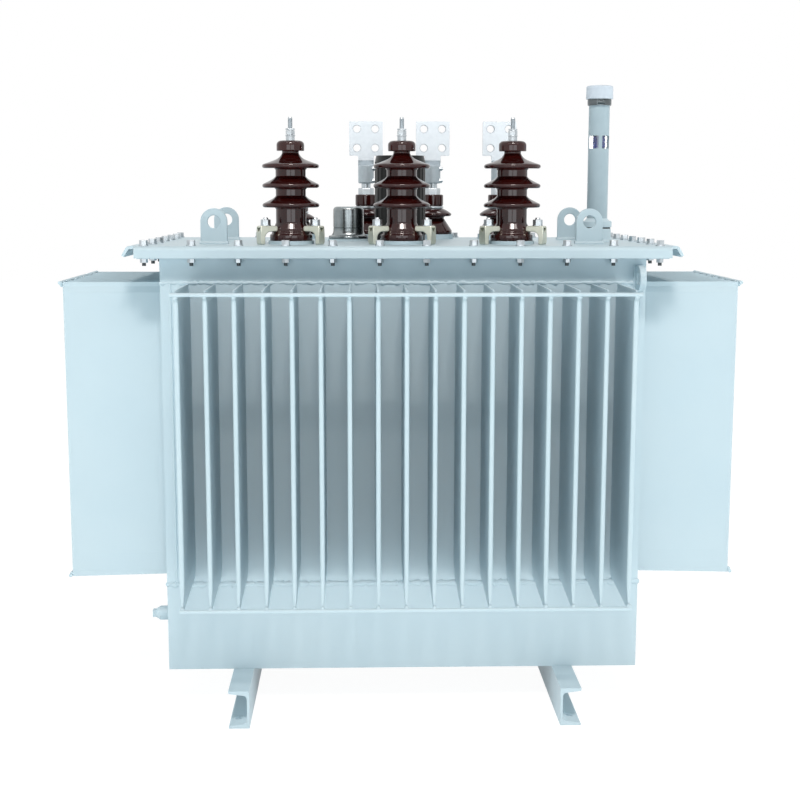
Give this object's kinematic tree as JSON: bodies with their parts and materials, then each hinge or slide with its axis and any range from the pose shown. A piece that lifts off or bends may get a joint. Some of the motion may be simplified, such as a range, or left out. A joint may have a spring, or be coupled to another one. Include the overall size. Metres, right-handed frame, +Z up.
{
  "type": "oil-immersed power transformer",
  "caption": "Oil-immersed power transformer: corrugated-fin tank on channel skids, bolted lid with brown porcelain bushings, lifting lugs and an oil gauge tube.",
  "frame": {"origin": "on the floor under the middle of the tank", "axes": "+Z up, -Y towards the high voltage side, +X towards the oil gauge"},
  "size_m": [1.4506, 0.9466, 1.327],
  "materials": {
    "tank_paint": "satin",
    "gasket_rubber": "matte",
    "brown_porcelain": "gloss",
    "zinc_steel": "satin",
    "passivated_casting": "satin",
    "tinned_metal": "satin",
    "stainless_steel": "polished",
    "black_moulding": "gloss",
    "gauge_tube_paint": "satin",
    "clear_sleeve": "gloss",
    "float_blue": "satin"
  },
  "bodies": {
    "root": {"left_skid": "tank_paint", "right_skid": "tank_paint", "tank_floor": "tank_paint", "lower_band": "tank_paint", "front_fin_wall": "tank_paint", "rear_fin_wall": "tank_paint", "left_fin_wall": "tank_paint", "right_fin_wall": "tank_paint", "front_fin_rods": "tank_paint", "rear_fin_rods": "tank_paint", "left_fin_rods": "tank_paint", "right_fin_rods": "tank_paint", "upper_band": "tank_paint", "tank_flange": "tank_paint", "lid": "tank_paint", "lid_lug_front_left": "tank_paint", "lid_lug_front_right": "tank_paint", "lid_lug_rear_left": "tank_paint", "lid_lug_rear_right": "tank_paint", "tank_lugs": "tank_paint", "gauge_socket": "tank_paint", "drain_plug": "tank_paint", "lid_gasket": "gasket_rubber", "hv_porcelain_1": "brown_porcelain", "hv_terminal_1": "zinc_steel", "hv_clamps_1": "passivated_casting", "hv_porcelain_2": "brown_porcelain", "hv_terminal_2": "zinc_steel", "hv_clamps_2": "passivated_casting", "hv_porcelain_3": "brown_porcelain", "hv_terminal_3": "zinc_steel", "hv_clamps_3": "passivated_casting", "lv_porcelain_n": "brown_porcelain", "lv_terminal_n": "tinned_metal", "lv_porcelain_a": "brown_porcelain", "lv_terminal_a": "tinned_metal", "lv_porcelain_b": "brown_porcelain", "lv_terminal_b": "tinned_metal", "lv_porcelain_c": "brown_porcelain", "lv_terminal_c": "tinned_metal", "relief_valve": "stainless_steel", "tap_changer_cover": "black_moulding", "gauge_tube": "gauge_tube_paint", "gauge_cap": "gauge_tube_paint", "gauge_sleeve": "clear_sleeve", "gauge_float": "float_blue", "gauge_band": "zinc_steel"}
  },
  "joints": []
}
